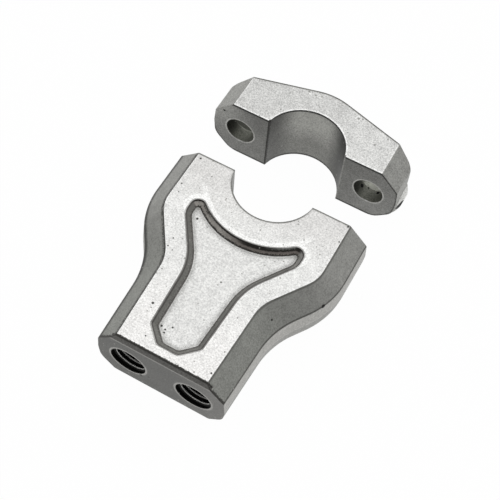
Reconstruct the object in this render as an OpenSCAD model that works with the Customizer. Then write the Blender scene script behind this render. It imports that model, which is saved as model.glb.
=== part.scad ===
// Handlebar clamp: a cast riser with a saddle, and the cap that closes it round the bar.
// Both pieces lie on their back faces. The bar's axis is Z, through the riser's saddle
// at the origin, and the cap is drawn off along +Y.

/* [Handlebar] */
// Diameter of the bar that the two saddles grip
bar_d = 22.2; // [20:0.1:24]
// Distance that the cap is drawn off along its bolts
cap_lift = 14.6; // [4:0.1:40]

/* [Section of both pieces] */
// Depth from the back face to the front face
depth = 19.4; // [18:0.1:24]
// Depth of the long edge chamfers, down from a face
chamfer_z = 5.2; // [4:0.1:6.5]
// Width of the long edge chamfers at the jaws and on the cap
jaw_chamfer = 5.3; // [4:0.1:6]
// Width of the long edge chamfers down the leg
leg_chamfer = 4.9; // [4:0.1:6]
// Draft of a side, from its ridges out to the parting line
side_draft = 0.35; // [0:0.05:0.6]
// Radius of the front ridge
front_ridge_r = 0.9; // [0.3:0.1:3]
// Radius of the back ridge
back_ridge_r = 4.5; // [1:0.1:5.5]
// Radius where the chamfers meet the back face
back_edge_r = 5; // [1:0.1:6]

/* [Riser] */
// Width over the jaws, ridge to ridge
jaw_w = 53.4; // [52:0.1:60]
// Distance from the bar's axis to the foot
rise = 55.85; // [52:0.1:75]
// Distance from the bar's axis to the riser's split faces
riser_relief = 1.45; // [0.8:0.05:3]
// Drop from the split faces to the corner of the shoulder
shoulder_drop = 18.7; // [17:0.1:22]
// Angle of the slope below the shoulder, from upright
slope_angle = 33.7; // [28:0.1:38]
// Width across the foot, ridge to ridge
foot_w = 33.5; // [32:0.1:38]
// Angle at which each side of the leg widens upward
leg_taper = 2.2; // [0:0.1:4]
// Radius of the shoulder along the ridge
shoulder_r = 22; // [12:0.5:24]
// Radius of the shoulder along the front face
shoulder_face_r = 9; // [6:0.5:12]
// Radius of the waist along the ridge
waist_r = 22; // [12:0.5:24]
// Radius of the waist along the front face
waist_face_r = 11; // [6:0.5:16]
// Setback of the bevel between the front face and the foot
foot_bevel = 0.8; // [0.3:0.1:1.5]
// Setback of the bevel between the back face and the foot
foot_back_bevel = 0.5; // [0.2:0.1:1.5]
// Height of both bevels
foot_bevel_z = 1.2; // [0.5:0.1:2]

/* [Recess in the riser] */
// Depth of the recess below the front face
recess_depth = 1.5; // [0.6:0.1:3]
// Width of its sloping wall
recess_wall = 2.1; // [1.2:0.1:2.2]
// Land between the recess and the face's edge at the jaws
arm_land = 5.5; // [4.5:0.1:6.5]
// Land between the recess and the face's edge below the jaws
recess_land = 5; // [4.5:0.1:6]
// Land between the recess and the saddle
saddle_land = 7.1; // [5:0.1:9]
// Land between the recess and the foot's edge
foot_land = 2.3; // [2:0.1:6]
// Size of the 45 degree corners at its lower end
recess_corner = 4; // [2:0.1:5]
// Radius that rounds those corners
recess_corner_r = 1.2; // [0.5:0.1:1.6]
// Radius of the tips of its arms
arm_tip_r = 2.4; // [2.3:0.1:3]

/* [Cap] */
// Width over the ends, ridge to ridge
cap_w = 53.6; // [52:0.1:60]
// Width and height of the chamfers at its back
cap_back_chamfer = 4.8; // [4:0.1:6]
// Distance from the cap's own bar axis to its split faces
cap_relief = 2.1; // [0.8:0.05:3]
// Height of the ridge of the roof over the split faces, before it is rounded
cap_h = 16.8; // [15:0.1:22]
// Slope of the roof on each side
roof_angle = 15.3; // [8:0.1:18]
// Radius of the roof's ridge
roof_r = 16; // [6:0.5:20]
// Radius of the outer corners
end_r = 3.2; // [1:0.1:5]
// Radius of the swelling on the right end, below the parting line
swell_r = 6.7; // [5:0.1:8]
// Reach of the swelling beyond that end
swell_proud = 1.2; // [0.2:0.1:2]
// Height of its middle over the split face
swell_up = 5.3; // [4:0.1:7]
// Height of its middle over the back face
swell_z = 5.9; // [5:0.1:7]

/* [Bolts] */
// Distance between the two cap bolts
bolt_spacing = 38.3; // [36:0.1:42]
// Diameter of the clearance holes in the cap
bolt_clear_d = 8.3; // [8.2:0.1:9]
// Diameter of the counterbores for the bolt heads
head_d = 13.6; // [13:0.1:14.5]
// Floor left under a bolt head
head_floor = 4.2; // [3:0.1:6]
// Diameter of the tapped holes in the split faces
bolt_tap_d = 6.8; // [6.5:0.1:7]
// Depth of the tapped holes in the split faces
bolt_tap_depth = 17; // [12:0.5:20]
// Distance between the two mounting holes in the foot
foot_spacing = 17.6; // [15:0.1:20]
// Diameter of the mounting holes, over the thread
foot_hole_d = 9.5; // [8:0.1:10.5]
// Depth of the mounting holes
foot_hole_depth = 22; // [15:0.5:26]

/* [Hidden] */
$fn = 96;
cast_grey = "#C4C4C1";
cap_grey = "#BABAB7";
over = 1;
drill_point = 118;
mid_z = depth / 2;
riser_split_y = -riser_relief;
cap_axis_y = cap_lift;
cap_split_y = cap_axis_y + cap_relief;
slope_chamfer = (jaw_chamfer + leg_chamfer) / 2;
flank_steps = 14;
ridge_steps = 4;
recess_steps = 10;
corner_steps = 4;
roof_steps = 12;
end_steps = 8;

// Point between a and b at share t
function mix(a, b, t) = a + (b - a) * t;

// Arc of radius r that rounds corner b between a and c, from a's side to c's side
function rounded(a, b, c, r, n) =
    let (u = (a - b) / norm(a - b),
         w = (c - b) / norm(c - b),
         half = acos(u * w) / 2,
         reach = r / tan(half),
         centre = b + (u + w) / norm(u + w) * r / sin(half),
         from = b + u * reach - centre,
         to = b + w * reach - centre,
         sweep = 180 - 2 * half)
    [for (i = [0:n]) centre + (from * sin(sweep * (1 - i / n)) + to * sin(sweep * i / n)) / sin(sweep)];

// Arc about a centre, with angles from +X
function arc(centre, r, from, to, n) =
    [for (i = [0:n]) centre + r * [cos(mix(from, to, i / n)), sin(mix(from, to, i / n))]];

function mirrored(side) = [for (i = [len(side) - 1:-1:0]) [-side[i].x, side[i].y]];

// Right flank of the riser, where inward 0 is the ridge and inward 1 the face's edge.
// The insets move its stretches further in, for the recess.
function jaw_x(inward) = jaw_w / 2 - inward * jaw_chamfer;
function shoulder(inward, jaw_inset = 0, inset = 0) =
    let (x = jaw_x(inward) - jaw_inset,
         run = (inward * slope_chamfer + inset) / cos(slope_angle) - inward * jaw_chamfer - jaw_inset)
    [x, riser_split_y - shoulder_drop + run / tan(slope_angle)];
function foot_point(inward, foot_y, inset = 0) =
    [foot_w / 2 - inward * leg_chamfer - inset / cos(leg_taper) + (foot_y + rise) * tan(leg_taper), foot_y];
function waist(inward, jaw_inset = 0, inset = 0) =
    let (top = shoulder(inward, jaw_inset, inset),
         foot = foot_point(inward, -rise, inset),
         drop = (top.x - foot.x - (top.y - foot.y) * tan(leg_taper)) / (tan(slope_angle) - tan(leg_taper)))
    [top.x - drop * tan(slope_angle), top.y - drop];
function flank(inward, foot_y) =
    let (top = [jaw_x(inward), riser_split_y],
         knee = shoulder(inward),
         hollow = waist(inward),
         foot = foot_point(inward, foot_y),
         shoulder_now = mix(shoulder_r, shoulder_face_r, min(1, inward)),
         waist_now = mix(waist_r, waist_face_r, min(1, inward)))
    concat([top],
           rounded(top, knee, hollow, shoulder_now, flank_steps),
           rounded(knee, hollow, foot, waist_now, flank_steps),
           [foot]);

// Foot height at a level z, with the bevel along its front and back edges
function foot_y_at(z) =
    -rise + max(0, foot_back_bevel * (1 - z / foot_bevel_z), foot_bevel * (1 - (depth - z) / foot_bevel_z));

// Edge of a piece's section, as [inward from the ridge, z], from the back face up. It takes
// the width and the height of the back chamfer.
function edge_section(back_w, back_z) = concat(
    rounded([2 * back_w, 0], [back_w, 0], [0, back_z], back_edge_r, ridge_steps),
    rounded([back_w, 0], [0, back_z], [-side_draft, mid_z], back_ridge_r, ridge_steps),
    [[-side_draft, mid_z]],
    rounded([-side_draft, mid_z], [0, depth - chamfer_z], [jaw_chamfer, depth], front_ridge_r, ridge_steps / 2),
    [[jaw_chamfer, depth]]);

// Levels of the riser, as [z, inward share], with one more where the foot's bevel starts
bevel_level = [depth - foot_bevel_z, 1 - foot_bevel_z / chamfer_z];
section_levels = [for (p = edge_section(jaw_chamfer, chamfer_z)) [p.y, p.x / jaw_chamfer]];
face_level = len(section_levels) - 1;
levels = concat([for (i = [0:face_level - 1]) section_levels[i]], [bevel_level, section_levels[face_level]]);

// Solid through a stack of outlines that have as many points each. The end faces are
// lists of points that fill one outline without crossing its hollows.
module loft(outlines, heights, end_faces) {
    n = len(outlines[0]);
    rings = len(outlines);
    points = [for (k = [0:rings - 1]) for (p = outlines[k]) [p.x, p.y, heights[k]]];
    walls = [for (k = [0:rings - 2]) for (i = [0:n - 1])
        let (a = k * n + i, b = k * n + (i + 1) % n)
        each [[a, b, a + n], [b, b + n, a + n]]];
    bottom = [for (f = end_faces) [for (i = [len(f) - 1:-1:0]) f[i]]];
    top = [for (f = end_faces) [for (i = f) (rings - 1) * n + i]];
    polyhedron(points, concat(bottom, walls, top), convexity = 6);
}

// Outline of the riser at one level, clockwise seen from the front
function riser_outline(level) =
    let (side = flank(level[1], foot_y_at(level[0])))
    concat(side, mirrored(side));

// Strips from each stretch of the right flank across to its mirror image
function riser_strips(n) = [for (i = [0:n / 2 - 2]) [i, i + 1, n - 2 - i, n - 1 - i]];

// Right half of the recess's outline, moved in by an inset
function recess_half(inset) =
    let (in = recess_land + inset,
         edge_x = jaw_x(1) - arm_land - inset,
         arc_r = bar_d / 2 + saddle_land + inset,
         tip_r = arm_tip_r - inset,
         tip = [edge_x - tip_r, -sqrt(pow(arc_r + tip_r, 2) - pow(edge_x - tip_r, 2))],
         tip_angle = atan2(tip.y, tip.x),
         knee = shoulder(1, arm_land + inset, in),
         hollow = waist(1, arm_land + inset, in),
         end_y = foot_bevel + foot_land + inset - rise,
         lower = foot_point(1, end_y, in),
         cut = recess_corner - inset * tan(45 / 2))
    concat([for (i = [0:recess_steps - 1]) arc([0, 0], arc_r, -90, tip_angle, recess_steps)[i]],
           arc(tip, tip_r, tip_angle + 180, 0, recess_steps),
           rounded([edge_x, tip.y], knee, hollow, shoulder_face_r - recess_land - inset, corner_steps),
           rounded(knee, hollow, lower, waist_face_r + in, recess_steps),
           rounded(hollow, lower + [0, cut], lower - [cut, 0], recess_corner_r, corner_steps),
           rounded(lower + [0, cut], lower - [cut, 0], [0, end_y], recess_corner_r, corner_steps));
function recess_outline(inset) =
    let (half = recess_half(inset))
    concat(half, mirrored([for (i = [1:len(half) - 1]) half[i]]));

// Fans that fill the recess's outline: round the tips, along the arc and down the leg
function fan(apex, from, to) = [for (i = [from:to - 1]) [apex, i, i + 1]];
function recess_fans(n) =
    let (last = (n - 1) / 2,
         tangent = recess_steps,
         slope_end = tangent + recess_steps + corner_steps + 2,
         right = concat(fan(tangent, tangent + 1, slope_end), fan(slope_end, 0, tangent), fan(0, slope_end, last)))
    concat(right, [for (f = right) [for (k = [2:-1:0]) (n - f[k]) % n]], [[0, last, last + 1]]);

// Section of the recess's wall, as [share of its width, share of its depth]
wall_section = [[1, 1], [0.86, 0.96], [0.7, 0.82], [0.28, 0.25], [0.14, 0.07], [0, 0]];

module recess() {
    insets = concat([for (s = wall_section) s[0] * recess_wall], [0]);
    heights = concat([for (s = wall_section) depth - s[1] * recess_depth], [depth + over]);
    outlines = [for (i = insets) recess_outline(i)];
    loft(outlines, heights, recess_fans(len(outlines[0])));
}

// Bar-sized cut along Z, through both faces
module saddle_cut(axis_y) {
    translate([0, axis_y, -over])
        cylinder(d = bar_d, h = depth + 2 * over);
}

// Blind drilled hole along Y with its mouth at mouth_y, going towards +Y or -Y
module blind_hole(x, mouth_y, d, hole_depth, towards) {
    translate([x, mouth_y, mid_z])
        rotate([-90 * towards, 0, 0]) {
            translate([0, 0, -over])
                cylinder(d = d, h = hole_depth + over);
            translate([0, 0, hole_depth])
                cylinder(d1 = d, d2 = 0, h = d / 2 / tan(drill_point / 2));
        }
}

module riser() {
    outlines = [for (level = levels) riser_outline(level)];
    color(cast_grey)
    difference() {
        loft(outlines, [for (level = levels) level[0]], riser_strips(len(outlines[0])));
        saddle_cut(0);
        recess();
        for (side = [-1, 1]) {
            blind_hole(side * bolt_spacing / 2, riser_split_y, bolt_tap_d, bolt_tap_depth, -1);
            blind_hole(side * foot_spacing / 2, -rise, foot_hole_d, foot_hole_depth, 1);
        }
    }
}

// Section of the cap across Y, with its ends moved out
module cap_section(out) {
    side = [for (p = edge_section(cap_back_chamfer, cap_back_chamfer)) [cap_w / 2 + out - p.x, p.y]];
    polygon(concat(side, mirrored(side)));
}

// Outline of the cap seen from the front: split face, round ends and a low roof
module cap_outline(out) {
    end_x = cap_w / 2 + side_draft + out;
    peak = [0, cap_split_y + cap_h];
    corner = [end_x, peak.y - end_x * tan(roof_angle)];
    ridge = rounded(corner, peak, [-corner.x, corner.y], roof_r, roof_steps);
    right = rounded([end_x, cap_split_y], corner, peak, end_r, end_steps);
    left = rounded(peak, [-corner.x, corner.y], [-end_x, cap_split_y], end_r, end_steps);
    polygon(concat([[end_x, cap_split_y]], right, ridge, left, [[-end_x, cap_split_y]]));
}

module cap_blank(out = 0) {
    intersection() {
        translate([0, 0, -over])
            linear_extrude(depth + 2 * over)
                cap_outline(out);
        translate([0, cap_split_y + cap_h + over, 0])
            rotate([90, 0, 0])
                linear_extrude(cap_h + 2 * over)
                    cap_section(out);
    }
}

// Swelling of the casting on the right end, where the metal ran in
module swelling() {
    intersection() {
        cap_blank(swell_proud);
        translate([cap_w / 2 + side_draft + swell_proud - swell_r, cap_split_y + swell_up, swell_z])
            sphere(r = swell_r);
    }
}

module cap() {
    color(cap_grey)
    difference() {
        union() {
            cap_blank();
            swelling();
        }
        saddle_cut(cap_axis_y);
        for (side = [-1, 1])
            translate([side * bolt_spacing / 2, cap_split_y, mid_z])
                rotate([-90, 0, 0]) {
                    translate([0, 0, -over])
                        cylinder(d = bolt_clear_d, h = cap_h + 2 * over);
                    translate([0, 0, head_floor])
                        cylinder(d = head_d, h = cap_h);
                }
    }
}

riser();
cap();
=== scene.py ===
"""A cast handlebar clamp: the riser lies on its back, with its cap drawn off beside it."""
import math

import bmesh
import bpy
from mathutils import Matrix, Vector


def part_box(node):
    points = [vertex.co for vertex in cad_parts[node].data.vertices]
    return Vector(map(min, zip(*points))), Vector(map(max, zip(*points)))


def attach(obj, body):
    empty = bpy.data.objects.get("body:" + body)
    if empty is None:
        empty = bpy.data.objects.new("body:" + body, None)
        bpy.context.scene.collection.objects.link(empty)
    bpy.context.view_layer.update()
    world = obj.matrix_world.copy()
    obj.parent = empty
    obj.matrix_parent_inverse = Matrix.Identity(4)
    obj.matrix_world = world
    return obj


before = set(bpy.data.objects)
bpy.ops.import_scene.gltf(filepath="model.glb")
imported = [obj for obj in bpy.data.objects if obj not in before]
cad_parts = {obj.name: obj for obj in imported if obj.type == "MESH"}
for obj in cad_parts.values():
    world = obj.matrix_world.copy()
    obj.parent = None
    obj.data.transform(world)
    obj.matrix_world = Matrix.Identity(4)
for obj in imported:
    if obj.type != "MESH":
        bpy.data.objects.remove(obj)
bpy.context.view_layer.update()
scene = bpy.context.scene
scene.view_settings.view_transform = "Standard"

# Camera. It looks down on the front faces from beyond the foot and a little to the right,
# and is turned slightly, as a hand-held camera is. Angles are in radians, lengths in metres.
azimuth = 0.41126
elevation = 1.03041
roll = 0.10659
distance = 0.27156
aside = -0.00482
above = -0.00535
behind_split = 0.00145
focal_px = 1023.6
frame_px = 500

toward = Vector((math.sin(azimuth) * math.cos(elevation),
                 -math.cos(azimuth) * math.cos(elevation),
                 math.sin(elevation)))
level_right = Vector((math.cos(azimuth), math.sin(azimuth), 0))
level_up = toward.cross(level_right)
right = math.cos(roll) * level_right + math.sin(roll) * level_up
up = -math.sin(roll) * level_right + math.cos(roll) * level_up
eye = toward * distance + right * aside + up * above - Vector((0, behind_split, 0))
camera_data = bpy.data.cameras.new("camera")
camera_data.sensor_width = 36
camera_data.lens = focal_px * camera_data.sensor_width / frame_px
camera_data.clip_start = 0.01
camera = bpy.data.objects.new("camera", camera_data)
camera.matrix_world = Matrix.Translation(eye) @ Matrix((right, up, toward)).transposed().to_4x4()
scene.collection.objects.link(camera)
scene.camera = camera

# Studio. White card lies under the object. A broad soft light hangs overhead and behind it,
# and the room is dimmer towards the viewer, which gives bare metal its grey sides.
lamp_axis = Vector((-0.1, 0.5, 0.85)).normalized()
lamp_cosine = 0.9
room_strength = 1.2
card_half = 1.5
card_drop = 0.00005
plain_white = 0.98


def linear(code):
    """sRGB hex colour as linear RGBA."""
    parts = [int(code[i:i + 2], 16) / 255 for i in (1, 3, 5)]
    return [c / 12.92 if c <= 0.04045 else ((c + 0.055) / 1.055) ** 2.4 for c in parts] + [1]


def add_node(tree, kind, inputs=None, **settings):
    """A node with its settings, and its inputs set to values or linked to sockets."""
    made = tree.nodes.new(kind)
    for name, value in settings.items():
        setattr(made, name, value)
    for socket, value in (inputs or {}).items():
        if isinstance(value, bpy.types.NodeSocket):
            tree.links.new(value, made.inputs[socket])
        else:
            made.inputs[socket].default_value = value
    return made


world = bpy.data.worlds.new("studio")
scene.world = world
world.use_nodes = True
sky = world.node_tree
sky.nodes.clear()
direction = add_node(sky, "ShaderNodeTexCoord").outputs["Generated"]
toward_lamp = add_node(sky, "ShaderNodeVectorMath",
                       {0: direction, 1: lamp_axis}, operation="DOT_PRODUCT").outputs["Value"]
glow = add_node(sky, "ShaderNodeMapRange",
                {"Value": toward_lamp, "From Min": 0, "From Max": lamp_cosine},
                interpolation_type="SMOOTHSTEP").outputs["Result"]
room = add_node(sky, "ShaderNodeMix",
                {0: glow, 6: linear("#7A7A7A"), 7: linear("#FFFFFF")}, data_type="RGBA").outputs[2]
room_light = add_node(sky, "ShaderNodeBackground", {"Color": room, "Strength": room_strength})
add_node(sky, "ShaderNodeOutputWorld", {"Surface": room_light.outputs[0]})

card_mesh = bpy.data.meshes.new("card")
card_bm = bmesh.new()
bmesh.ops.create_grid(card_bm, size=card_half)
bmesh.ops.translate(card_bm, vec=(0, 0, -card_drop), verts=card_bm.verts)
card_bm.to_mesh(card_mesh)
card_bm.free()
card = bpy.data.objects.new("card", card_mesh)
scene.collection.objects.link(card)

# The card is matt. The eye and the metal see it as nearly plain white, and the small part of
# it that is paper shows the object's shadow.
white_card = bpy.data.materials.new("white_card")
white_card.use_nodes = True
tree = white_card.node_tree
tree.nodes.clear()
paper = add_node(tree, "ShaderNodeBsdfDiffuse", {"Color": linear("#F2F2F2")})
lit_white = add_node(tree, "ShaderNodeEmission", {"Color": linear("#FFFFFF"), "Strength": 1})
path = add_node(tree, "ShaderNodeLightPath")
mirrored = add_node(tree, "ShaderNodeMath",
                    {0: path.outputs["Is Glossy Ray"], 1: path.outputs["Is Transmission Ray"]},
                    operation="MAXIMUM").outputs[0]
shown = add_node(tree, "ShaderNodeMath",
                 {0: path.outputs["Is Camera Ray"], 1: mirrored}, operation="MAXIMUM").outputs[0]
mostly = add_node(tree, "ShaderNodeMath", {0: shown, 1: plain_white}, operation="MULTIPLY").outputs[0]
card_mix = add_node(tree, "ShaderNodeMixShader",
                    {0: mostly, 1: paper.outputs[0], 2: lit_white.outputs[0]})
add_node(tree, "ShaderNodeOutputMaterial", {"Surface": card_mix.outputs[0]})
card_mesh.materials.append(white_card)

# Riser. One die casting in aluminium, blasted satin grey. Its front is painted bright, as the
# overhead light falls on it, and finely speckled, its chamfers and sides are painted darker as
# shade, and shallow pits and nicks dot the skin.
mm = 0.001
mid_z = 9.7 * mm
ridge_z = 14.2 * mm
front_z = 19.4 * mm
recess_z = 17.9 * mm
recess_arc_r = 20.6 * mm
lip_r = 17.7 * mm
lip_tip_r = 3.4 * mm
saddle_r = 11.1 * mm
foot_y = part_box("riser")[0].y
bevel_y = foot_y + 1.1 * mm
bevel_z = 18 * mm
foot_spacing = 17.6 * mm
foot_hole_r = 4.75 * mm
foot_hole_depth = 22 * mm

# The blasted skin. The grit and the flecks are drawn coarser than the real ones, which are
# about 0.1 mm, so that they show.
grit = 0.42 * mm
blotch_size = 2.5 * mm
fleck_spacing = 1.7 * mm
bump_depth = 0.1 * mm
soft_edge = 0.4 * mm
rim_bevel_radius = 1.2 * mm
shade_reach = 1.6 * mm


def where(tree, *limits):
    """A mask that grows from 0 to 1 as each value goes from its start to its end."""
    mask = None
    for value, start, end in limits:
        step = add_node(tree, "ShaderNodeMapRange", {"Value": value, "From Min": start, "From Max": end},
                        interpolation_type="SMOOTHSTEP").outputs["Result"]
        if mask is None:
            mask = step
        else:
            mask = add_node(tree, "ShaderNodeMath", {0: mask, 1: step}, operation="MULTIPLY").outputs[0]
    return mask


def either(tree, *masks):
    """A mask that is as strong as the strongest of the given ones."""
    strongest = masks[0]
    for mask in masks[1:]:
        strongest = add_node(tree, "ShaderNodeMath", {0: strongest, 1: mask}, operation="MAXIMUM").outputs[0]
    return strongest


def reach(tree, spot, centre, along=(1, 1, 1)):
    """Distance of a spot from a centre, counted along the axes that have a 1."""
    off = add_node(tree, "ShaderNodeVectorMath", {0: spot, 1: centre}, operation="SUBTRACT").outputs[0]
    kept = add_node(tree, "ShaderNodeVectorMath", {0: off, 1: along}, operation="MULTIPLY").outputs[0]
    return add_node(tree, "ShaderNodeVectorMath", {0: kept}, operation="LENGTH").outputs["Value"]


def marks(tree, at, places, core):
    """One mask for marks at x, y, z and radius, in millimetres, full within that share of it."""
    spots = [where(tree, (reach(tree, at["spot"], (x * mm, y * mm, z * mm)), r * mm, core * r * mm))
             for x, y, z, r in places]
    return either(tree, *spots)


def casting(name):
    """A new material, its node tree, and the sockets and masks that place its colours."""
    material = bpy.data.materials.new(name)
    material.use_nodes = True
    tree = material.node_tree
    tree.nodes.clear()
    place = add_node(tree, "ShaderNodeTexCoord")
    at = {"spot": place.outputs["Object"]}
    at["x"], at["y"], at["z"] = add_node(tree, "ShaderNodeSeparateXYZ", {0: at["spot"]}).outputs
    lie = add_node(tree, "ShaderNodeSeparateXYZ", {0: place.outputs["Normal"]})
    at["nx"], at["ny"], at["nz"] = lie.outputs

    # The left half folded over the right one, and how far a surface faces away from the middle.
    across = add_node(tree, "ShaderNodeMath", {0: at["x"]}, operation="ABSOLUTE").outputs[0]
    at["folded"] = add_node(tree, "ShaderNodeCombineXYZ", {0: across, 1: at["y"], 2: at["z"]}).outputs[0]
    side = add_node(tree, "ShaderNodeMath", {0: at["x"]}, operation="SIGN").outputs[0]
    at["outward"] = add_node(tree, "ShaderNodeMath", {0: side, 1: at["nx"]}, operation="MULTIPLY").outputs[0]

    # Softened edges, wider rounded rims and the way these lean, which place painted highlight and
    # shade, and how open a place is to the light.
    at["soft"] = add_node(tree, "ShaderNodeBevel", {"Radius": soft_edge}, samples=8).outputs[0]
    rim_normal = add_node(tree, "ShaderNodeBevel", {"Radius": rim_bevel_radius}, samples=8).outputs[0]
    lean = add_node(tree, "ShaderNodeSeparateXYZ", {0: rim_normal}).outputs["Y"]
    turn = add_node(tree, "ShaderNodeVectorMath",
                    {0: rim_normal, 1: place.outputs["Normal"]}, operation="DOT_PRODUCT")
    at["edge"] = where(tree, (turn.outputs["Value"], 0.99, 0.94))
    at["open"] = add_node(tree, "ShaderNodeAmbientOcclusion", {"Distance": shade_reach},
                          samples=8, only_local=True).outputs["AO"]

    # The grain, the ragged lines that follow it, and flecks in some cells of a pattern.
    at["grain"] = add_node(tree, "ShaderNodeTexNoise",
                           {"Vector": at["spot"], "Scale": 1 / grit, "Detail": 4,
                            "Roughness": 0.75}).outputs["Fac"]
    for axis, depth in (("y", 1.6 * mm), ("z", 0.7 * mm)):
        ragged = add_node(tree, "ShaderNodeMath", {0: at["grain"], 1: depth, 2: -depth / 2},
                          operation="MULTIPLY_ADD").outputs[0]
        at["ragged_" + axis] = add_node(tree, "ShaderNodeMath", {0: at[axis], 1: ragged}).outputs[0]
    cell = add_node(tree, "ShaderNodeTexVoronoi", {"Vector": at["spot"], "Scale": 1 / fleck_spacing})
    chosen = add_node(tree, "ShaderNodeSeparateColor", {0: cell.outputs["Color"]}).outputs[0]
    at["flecks"] = where(tree, (cell.outputs["Distance"], 0.16, 0.08), (chosen, 0.6, 0.7))

    # The front, with a painted highlight along its rims towards the foot and painted shade along
    # them towards the cap, and the sides.
    at["front"] = where(tree, (at["nz"], 0.9, 0.99))
    at["bright_rim"] = where(tree, (at["nz"], 0.97, 0.99), (at["edge"], 0, 1), (lean, 0.12, 0.04))
    at["dark_rim"] = where(tree, (at["nz"], 0.97, 0.99), (at["edge"], 0, 1), (lean, 0.04, 0.15))
    at["outer"] = where(tree, (at["outward"], 0.2, 0.4), (at["nz"], -0.1, 0))
    at["side_band"] = where(tree, (at["outer"], 0, 1), (at["nz"], 0.4, 0.2),
                            (at["z"], mid_z, mid_z + 0.2 * mm))
    return material, tree, at


def cast_aluminium(tree, at, colour, layers, contrast=0.24):
    """Blasted die-cast aluminium: satin, so it takes broad light softly, with a fine speckle."""
    for mask, code in layers:
        colour = add_node(tree, "ShaderNodeMix", {0: mask, 6: colour, 7: linear(code)},
                          data_type="RGBA").outputs[2]
    blotch = add_node(tree, "ShaderNodeTexNoise",
                      {"Vector": at["spot"], "Scale": 1 / blotch_size, "Detail": 1}).outputs["Fac"]
    uneven = add_node(tree, "ShaderNodeMath",
                      {0: blotch, 1: 0.15, 2: at["grain"]}, operation="MULTIPLY_ADD").outputs[0]
    tint = add_node(tree, "ShaderNodeMapRange",
                    {"Value": uneven, "From Min": 0.42, "From Max": 0.72,
                     "To Min": 0.94 - contrast, "To Max": 0.94 + contrast})
    speckled = add_node(tree, "ShaderNodeVectorMath",
                        {0: colour, "Scale": tint.outputs["Result"]}, operation="SCALE").outputs[0]
    bump = add_node(tree, "ShaderNodeBump", {"Height": at["grain"], "Strength": 0.25,
                                             "Distance": bump_depth, "Normal": at["soft"]})
    surface = add_node(tree, "ShaderNodeBsdfPrincipled",
                       {"Base Color": speckled, "Metallic": 0.8, "Roughness": 0.5,
                        "Normal": bump.outputs[0]})
    add_node(tree, "ShaderNodeOutputMaterial", {"Surface": surface.outputs[0]})


def coat(node, material):
    """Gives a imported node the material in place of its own."""
    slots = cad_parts[node].data.materials
    slots.clear()
    slots.append(material)


material, tree, at = casting("riser_cast")
# The front is lighter in its middle and lower parts, and the leg's sides a little darker. The foot's face is
# painted in shade, lighter towards its right end.
middle_face = where(tree, (at["front"], 0, 1), (at["y"], -5 * mm, -18 * mm))
lower_face = where(tree, (at["front"], 0, 1), (at["y"], -28 * mm, -50 * mm))
leg_flank = where(tree, (at["outer"], 0, 1), (at["y"], -20 * mm, -36 * mm))
foot_face = where(tree, (at["ny"], -0.93, -0.98))
foot_end = where(tree, (foot_face, 0, 1), (at["x"], 2 * mm, 16 * mm))

# The recess walls face its middle, or lie below the arc round the saddle. They are painted in
# shade, with lit patches at the arc's left and at the arms' tips. Painted dark shade lines run
# along their tops and feet, and painted shade lies on the floor beside them.
recess_floor = where(tree, (at["front"], 0, 1), (at["z"], recess_z + 0.1 * mm, recess_z + 0.05 * mm))
recess_shade = where(tree, (at["open"], 0.96, 0.85), (at["nz"], 0.8, 0.9), (at["z"], 18.5 * mm, 18.3 * mm))
from_bar = reach(tree, at["spot"], (0, 0, 0), along=(1, 1, 0))
facing_in = either(tree, where(tree, (at["outward"], -0.02, -0.1)), where(tree, (at["ny"], 0.1, 0.2)),
                   where(tree, (from_bar, recess_arc_r + 0.3 * mm, recess_arc_r)))
recess_wall = where(tree, (at["z"], recess_z - 0.1 * mm, recess_z + 0.05 * mm), (at["nz"], 0.2, 0.4),
                    (at["nz"], 0.99, 0.9), (facing_in, 0.4, 0.6))
shaded_wall = where(tree, (recess_wall, 0, 1), (at["ny"], -0.1, -0.5), (at["x"], 15 * mm, 13.4 * mm))
lit_arc = where(tree, (shaded_wall, 0, 1), (at["x"], 2 * mm, -7 * mm))
lit_tip = where(tree, (recess_wall, 0, 1), (at["x"], 13.6 * mm, 14.6 * mm))
wall_top = where(tree, (at["ragged_z"], front_z - 0.5 * mm, front_z - 0.3 * mm))
wall_foot = where(tree, (at["ragged_z"], recess_z + 0.4 * mm, recess_z + 0.2 * mm))
wall_shade_lines = where(tree, (recess_wall, 0, 1), (either(tree, wall_top, wall_foot), 0, 1))
deep_shade = where(tree, (at["ragged_z"], front_z - 0.9 * mm, front_z - 0.6 * mm),
                   (at["x"], -3 * mm, 3 * mm))
shaded_lines = where(tree, (shaded_wall, 0, 1), (either(tree, wall_top, wall_foot, deep_shade), 0, 1))

# A painted highlight lies on the smooth lip that runs round the recess's arc and the tips of
# its arms.
lip_arc = where(tree, (from_bar, lip_r - 0.8 * mm, lip_r - 0.4 * mm),
                (from_bar, lip_r + 0.8 * mm, lip_r + 0.6 * mm))
from_tip = reach(tree, at["folded"], (13.5 * mm, -15.6 * mm, 0), along=(1, 1, 0))
lip_tip = where(tree, (from_tip, lip_tip_r + 0.5 * mm, lip_tip_r))
lip_highlight = where(tree, (either(tree, lip_arc, lip_tip), 0, 1), (at["front"], 0, 1),
            (at["z"], front_z - 0.4 * mm, front_z - 0.2 * mm), (at["y"], -8 * mm, -12 * mm))

# Below the front's rims lies a thin line of painted shade, rougher and broken on the left.
under_rim_shade = where(tree, (at["nz"], 0.97, 0.9), (at["ragged_z"], front_z - 0.5 * mm, front_z - 0.3 * mm),
                  (at["outward"], 0.2, 0.4))
rough_rim_shade = where(tree, (at["nz"], 0.97, 0.9), (at["ragged_z"], front_z - 0.9 * mm, front_z - 0.5 * mm),
                  (at["outer"], 0, 1), (at["nx"], -0.2, -0.4), (at["grain"], 0.44, 0.54))
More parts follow.
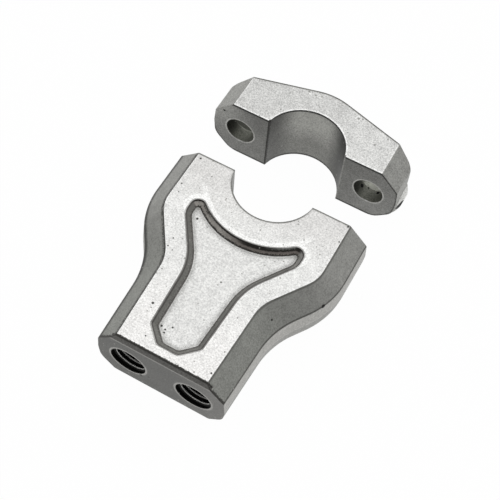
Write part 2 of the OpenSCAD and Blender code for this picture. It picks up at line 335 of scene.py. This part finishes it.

# Down the sides: a dark line at the ridge, a bright parting line and a lower half painted
# darker as shade. Painted shade runs along the bottom, where the casting lies on the card.
ridge_line = where(tree, (at["outer"], 0, 1), (at["z"], ridge_z - 0.3 * mm, ridge_z - 0.05 * mm),
                   (at["z"], ridge_z + 0.4 * mm, ridge_z + 0.1 * mm))
left_ridge = where(tree, (at["outer"], 0, 1), (at["nx"], -0.2, -0.4),
                   (at["z"], ridge_z - 0.3 * mm, ridge_z),
                   (at["z"], ridge_z + 1.1 * mm, ridge_z + 0.4 * mm))
parting = where(tree, (at["outer"], 0, 1), (at["z"], mid_z - 0.3 * mm, mid_z - 0.1 * mm),
                (at["z"], mid_z + 0.3 * mm, mid_z + 0.1 * mm))
lower_half = where(tree, (at["outer"], 0, 1), (at["z"], mid_z - 0.1 * mm, mid_z - 0.4 * mm))
card_shade = where(tree, (at["z"], 0.7 * mm, 0.3 * mm))

# The bevel above the foot is painted in shade, with a ragged line of darker painted shade along
# its edge, which goes on round the chamfers' ends.
bevel = where(tree, (at["y"], bevel_y + 0.1 * mm, bevel_y), (at["ny"], -0.98, -0.93),
              (at["z"], bevel_z - 0.1 * mm, bevel_z + 0.1 * mm))
bevel_shade_edge = where(tree, (at["ragged_y"], bevel_y + 0.15 * mm, bevel_y - 0.05 * mm),
                   (at["y"], bevel_y - 0.6 * mm, bevel_y - 0.35 * mm),
                   (at["z"], bevel_z - 0.1 * mm, bevel_z + 0.1 * mm))
bevel_shade_end = where(tree, (at["ragged_y"], bevel_y - 0.25 * mm, bevel_y - 0.65 * mm),
                  (at["ny"], -0.9, -0.6), (at["z"], 12 * mm, 15 * mm), (at["nz"], 0.2, 0.4))
foot_line = where(tree, (foot_face, 0, 1), (at["z"], bevel_z - 0.6 * mm, bevel_z - 0.2 * mm))
# A painted highlight rings the mouths of the foot holes, and their walls are painted near black as shade.
from_hole = reach(tree, at["folded"], (foot_spacing / 2, 0, mid_z), along=(1, 0, 1))
hole_mouth_highlight = where(tree, (foot_face, 0, 1), (from_hole, foot_hole_r + 0.65 * mm, foot_hole_r + 0.35 * mm))
hole_end = foot_y + foot_hole_depth + mm
foot_hole_shade = where(tree, (from_hole, foot_hole_r + 0.2 * mm, foot_hole_r + 0.1 * mm),
                  (at["ny"], -0.98, -0.93), (at["y"], hole_end + mm, hole_end))

# The pits that show most, as x, y, z and radius in millimetres, and a nick in the ridge.
pits = [(-20.2, -2.8, 19.4, 0.35), (-20.4, -11.8, 19.4, 0.25), (-15, -6.2, 19.4, 0.2),
        (-19.8, -14.3, 19.4, 0.2), (-14, -26.5, 19.4, 0.25), (-14, -29, 19.4, 0.25),
        (-12.5, -29.5, 19.4, 0.2), (-9, -44, 19.4, 0.4), (-4.6, -47.4, 17.9, 0.35),
        (-3.4, -47.8, 17.9, 0.3), (-2.2, -46.5, 17.9, 0.3), (-3.2, -48.6, 17.9, 0.3),
        (-6, -52, 19.4, 0.25), (21, -2, 19.4, 0.35), (21, -7, 19.4, 0.25), (11.5, -52.5, 19.4, 0.3),
        (-12.3, -18, 17.9, 0.4), (1.5, -30.5, 17.9, 0.25), (-5.4, -56, 5.6, 0.6),
        (-3.3, -56, 6.9, 0.4), (16.4, -32.5, 16.5, 0.35)]
nick = where(tree, (reach(tree, at["spot"], (25 * mm, -22 * mm, ridge_z)), 0.7 * mm, 0.4 * mm))

cast_aluminium(tree, at, linear("#A4A4A0"), [
    (at["front"], "#DEDDDB"),
    (middle_face, "#E9E9E7"),
    (lower_face, "#F1F0EE"),
    (recess_floor, "#E4E4E2"),
    (leg_flank, "#9B9C97"),
    (foot_face, "#6A6A67"),
    (foot_end, "#7C7B78"),
    (recess_wall, "#84837F"),
    (shaded_wall, "#8C8580"),
    (lit_arc, "#C2BEB8"),
    (lit_tip, "#B4B3AF"),
    (wall_shade_lines, "#605E5B"),
    (shaded_lines, "#353330"),
    (recess_shade, "#72716D"),
    (lip_highlight, "#F8F8F6"),
    (at["bright_rim"], "#FAFAF8"),
    (at["dark_rim"], "#7C7C78"),
    (under_rim_shade, "#7A7A76"),
    (rough_rim_shade, "#454441"),
    (at["side_band"], "#B6B5B1"),
    (lower_half, "#868681"),
    (parting, "#C8C8C4"),
    (ridge_line, "#62625E"),
    (left_ridge, "#5A5A57"),
    (card_shade, "#5E5E5B"),
    (foot_line, "#93928E"),
    (bevel, "#7A7976"),
    (bevel_shade_edge, "#403F3C"),
    (bevel_shade_end, "#4C4B48"),
    (hole_mouth_highlight, "#A8A7A3"),
    (foot_hole_shade, "#0E0E0D"),
    (at["flecks"], "#A2A19D"),
    (marks(tree, at, pits, core=0.6), "#454441"),
    (nick, "#222120")])
coat("riser", material)

# Cap. The same alloy and finish, a shade greyer, and painted in light and shade by the way its
# faces lie, as the riser is. The bore that grips the bar is painted darker than the front, and
# the casting swells a little at its right end, where a painted highlight lies on the skin.
cap_axis_y = 14.6 * mm
cap_end_x = 27.15 * mm
split_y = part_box("cap")[0].y
bolt_x = 19.15 * mm
bolt_hole_r = 4.15 * mm
sink_r = 6.8 * mm
sink_y = 20.9 * mm

material, tree, at = casting("cap_cast")
right_face = where(tree, (at["front"], 0, 1), (at["x"], 2 * mm, 16 * mm))
# A thin line of painted shade lies below the front's rims, on the split faces and the bore.
under_rim_shade = where(tree, (at["ny"], -0.2, -0.5), (at["ragged_z"], front_z - 0.8 * mm, front_z - 0.5 * mm),
                  (at["nz"], 0.97, 0.9))
# Painted shade runs along the bottom, where the cap lies on the card.
card_shade = where(tree, (at["z"], 0.9 * mm, 0.4 * mm))
swelling_highlight = where(tree, (at["x"], cap_end_x, cap_end_x + 0.25 * mm))

# The bore is lit from its crown, and darker at its back and on both flanks.
from_bar = reach(tree, at["spot"], (0, cap_axis_y, 0), along=(1, 1, 0))
bore = where(tree, (from_bar, saddle_r + 0.15 * mm, saddle_r + 0.1 * mm), (at["nz"], 0.9, 0.5))
bore_back = where(tree, (bore, 0, 1), (at["z"], 15 * mm, 5 * mm))
bore_left = where(tree, (bore, 0, 1), (at["nx"], 0.5, 0.95))
bore_right = where(tree, (bore, 0, 1), (at["nx"], -0.2, -0.75))

# The split faces, painted in shade and lighter towards the upper left, with painted shade along
# their outer edges, and a line where they meet the bore, painted as shade on the left and as a
# highlight on the right.
split_face = where(tree, (at["ny"], -0.93, -0.98), (at["y"], split_y + 0.2 * mm, split_y + 0.1 * mm))
left_split = where(tree, (split_face, 0, 1), (at["x"], -15 * mm, -26 * mm), (at["z"], 6 * mm, 16 * mm))
right_split = where(tree, (split_face, 0, 1), (at["x"], 8 * mm, 20 * mm))
from_hole = reach(tree, at["folded"], (bolt_x, 0, mid_z), along=(1, 0, 1))
rim_side = either(tree, where(tree, (at["x"], 0, mm)), where(tree, (at["z"], 8 * mm, 6 * mm)))
split_rim_shade = where(tree, (split_face, 0, 1), (at["edge"], 0, 1), (rim_side, 0, 1),
                  (from_hole, bolt_hole_r + 1.05 * mm, bolt_hole_r + 1.45 * mm),
                  (from_bar, saddle_r + 0.9 * mm, saddle_r + 1.3 * mm))
split_bore = where(tree, (from_bar, saddle_r + 0.4 * mm, saddle_r + 0.25 * mm),
                   (at["ragged_y"], split_y + 0.7 * mm, split_y + 0.4 * mm))
split_shade = where(tree, (split_bore, 0, 1), (at["x"], 0, -mm))
split_highlight = where(tree, (split_bore, 0, 1), (at["x"], 0, mm))

# The bolt holes, and the counterbores that sink the bolts' heads behind them. A painted
# highlight rings each mouth, the hole walls that face right are painted in shade, and the
# counterbores are painted in shade with a painted patch of light in the right one.
hole_mouth_highlight = where(tree, (split_face, 0, 1), (from_hole, bolt_hole_r + 0.5 * mm, bolt_hole_r + 0.25 * mm))
drilled = where(tree, (from_hole, bolt_hole_r + 0.15 * mm, bolt_hole_r + 0.05 * mm),
                (at["y"], split_y + 0.05 * mm, split_y + 0.15 * mm))
bolt_hole_shade = where(tree, (drilled, 0, 1), (at["nx"], 0.2, 0.9))
sunk = where(tree, (from_hole, sink_r + 0.1 * mm, sink_r + 0.05 * mm), (at["y"], sink_y - 0.1 * mm, sink_y))
sunk_lit = where(tree, (sunk, 0, 1), (at["x"], 0, mm), (at["nz"], 0.8, 0.95))

# Dents and scuffs in the front, and black nicks, as x, y, z and radius in millimetres; the
# last five nicks together are a painted shadow stroke below the swelling. One dent has a raised
# bright rim.
dents = [(-6.5, 30.9, 19.4, 0.4), (-4.4, 30.6, 19.4, 0.4), (-2.8, 31.1, 19.4, 0.35), (16, 24, 19.4, 0.4),
         (8.7, 29.6, 19.4, 0.45), (9.8, 29.9, 19.4, 0.3)]
scuffs = [(-6, 30.4, 19.4, 0.5), (-5.3, 29.8, 19.4, 0.4), (-3.7, 31.2, 19.4, 0.4), (-3.2, 30.5, 19.4, 0.4)]
nicks_and_shadow = [(-24.2, 16.7, 15.2, 0.4), (16.5, 19.8, 6.5, 0.6), (21.1, 20.2, 6.1, 0.5), (18.2, 20.6, 5.7, 0.3),
         (27.55, 18.8, 5.7, 0.75), (27.7, 19.2, 6.1, 1), (27.85, 19.6, 6.4, 1), (28, 20, 6.6, 1),
         (28.05, 20.3, 6.7, 0.8)]
from_dent = reach(tree, at["spot"], (8.7 * mm, 29.6 * mm, front_z))
dent_rim = where(tree, (from_dent, 0.4 * mm, 0.6 * mm), (from_dent, 0.9 * mm, 0.75 * mm))

cast_aluminium(tree, at, linear("#A6A6A2"), [
    (at["front"], "#D0D0CE"),
    (right_face, "#D8D8D6"),
    (split_face, "#80807D"),
    (bore, "#B2B2AD"),
    (right_split, "#898986"),
    (left_split, "#A2A29E"),
    (bore_back, "#8A8A86"),
    (bore_left, "#6E6E6B"),
    (bore_right, "#50504D"),
    (at["bright_rim"], "#FAFAF8"),
    (at["dark_rim"], "#666662"),
    (under_rim_shade, "#3A3A38"),
    (split_rim_shade, "#4A4A47"),
    (split_shade, "#3A3A37"),
    (split_highlight, "#9A9A96"),
    (at["side_band"], "#A6A6A2"),
    (card_shade, "#4A4A47"),
    (swelling_highlight, "#E4E4E1"),
    (hole_mouth_highlight, "#B4B4B0"),
    (drilled, "#8E8F86"),
    (bolt_hole_shade, "#4E4F49"),
    (sunk, "#55564F"),
    (sunk_lit, "#A6A79E"),
    (at["flecks"], "#9A9A96"),
    (either(tree, dent_rim, marks(tree, at, scuffs, core=0.4)), "#E8E8E6"),
    (marks(tree, at, dents, core=0.4), "#9C9C98"),
    (marks(tree, at, nicks_and_shadow, core=0.8), "#141413")], contrast=0.32)
coat("cap", material)

# Threads in the two foot holes. Each is cut in the casting itself, coarse, with crests painted
# bright as highlights over flanks painted dark as shade, and deeper painted shade further in.
crest_r = 4.2 * mm
root_r = foot_hole_r + 0.05 * mm
pitch = 1.25 * mm
half_crest = 0.06 * pitch
half_root = 0.49 * pitch
turns = 15
turn_steps = 48
first_turn_y = foot_y + 0.4 * mm

material, tree, at = casting("cut_aluminium")
from_hole = reach(tree, at["folded"], (foot_spacing / 2, 0, mid_z), along=(1, 0, 1))
crest_highlight = where(tree, (from_hole, crest_r + 0.16 * mm, crest_r + 0.06 * mm))
inner_shade = where(tree, (at["y"], foot_y + 3 * mm, foot_y + 7 * mm))
cast_aluminium(tree, at, linear("#1E1E1C"), [
    (crest_highlight, "#D8D8D4"),
    (inner_shade, "#0C0C0B")])
for side in (-1, 1):
    bm = bmesh.new()
    profile = [bm.verts.new((root_r, pitch / 2 - half_root, 0)),
               bm.verts.new((crest_r, pitch / 2 - half_crest, 0)),
               bm.verts.new((crest_r, pitch / 2 + half_crest, 0)),
               bm.verts.new((root_r, pitch / 2 + half_root, 0))]
    edges = [bm.edges.new((profile[i - 1], profile[i])) for i in range(4)]
    bmesh.ops.spin(bm, geom=profile + edges, cent=(0, 0, 0), axis=(0, 1, 0),
                   dvec=(0, pitch / turn_steps, 0), angle=2 * math.pi * turns,
                   steps=turn_steps * turns, use_merge=False, use_duplicate=False)
    bmesh.ops.holes_fill(bm, edges=[edge for edge in bm.edges if edge.is_boundary], sides=4)
    bmesh.ops.translate(bm, vec=(side * foot_spacing / 2, first_turn_y, mid_z), verts=bm.verts)
    bmesh.ops.recalc_face_normals(bm, faces=bm.faces)
    mesh = bpy.data.meshes.new("thread")
    bm.to_mesh(mesh)
    bm.free()
    mesh.materials.append(material)
    thread = bpy.data.objects.new("thread_left" if side < 0 else "thread_right", mesh)
    scene.collection.objects.link(thread)
    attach(thread, "root")
